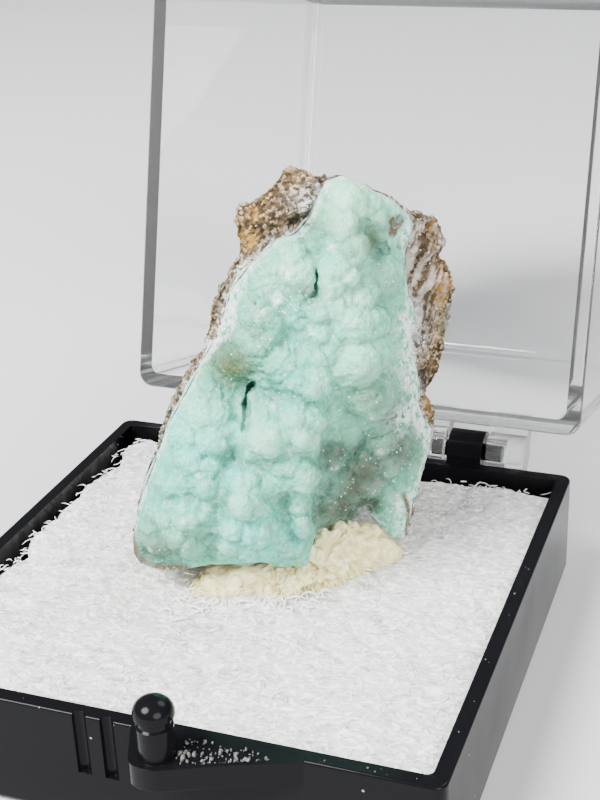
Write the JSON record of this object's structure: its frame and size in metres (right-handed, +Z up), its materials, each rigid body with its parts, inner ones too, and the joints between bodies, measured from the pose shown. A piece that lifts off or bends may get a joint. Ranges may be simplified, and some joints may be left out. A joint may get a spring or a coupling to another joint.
{
  "type": "mineral specimen in a box",
  "caption": "Pale aqua botryoidal hemimorphite on brown matrix, held by putty on the foam of a small black tray with a hinged clear lid.",
  "frame": {"origin": "centre of the tray's underside, on the surface that the tray rests on", "axes": "+Z up. +X along the hinge, to the right of someone who faces the latch. +Y from the latch to the hinge."},
  "size_m": [0.0318, 0.0753, 0.0427],
  "materials": {
    "mineral": "satin",
    "putty": "matte",
    "foam": "matte",
    "black_plastic": "gloss",
    "clear_plastic": "gloss"
  },
  "bodies": {
    "base": {"tray": "black_plastic", "foam_insert": "foam", "mineral_tack": "putty", "specimen": "mineral"},
    "lid": {"lid": "clear_plastic"}
  },
  "joints": [
    {"name": "lid_hinge", "type": "hinge", "parent": "base", "child": "lid", "pos_m": [0, 0.0176, 0.0067], "axis": [-1, 0, 0], "range_deg": [-105.79, 103.2]}
  ]
}
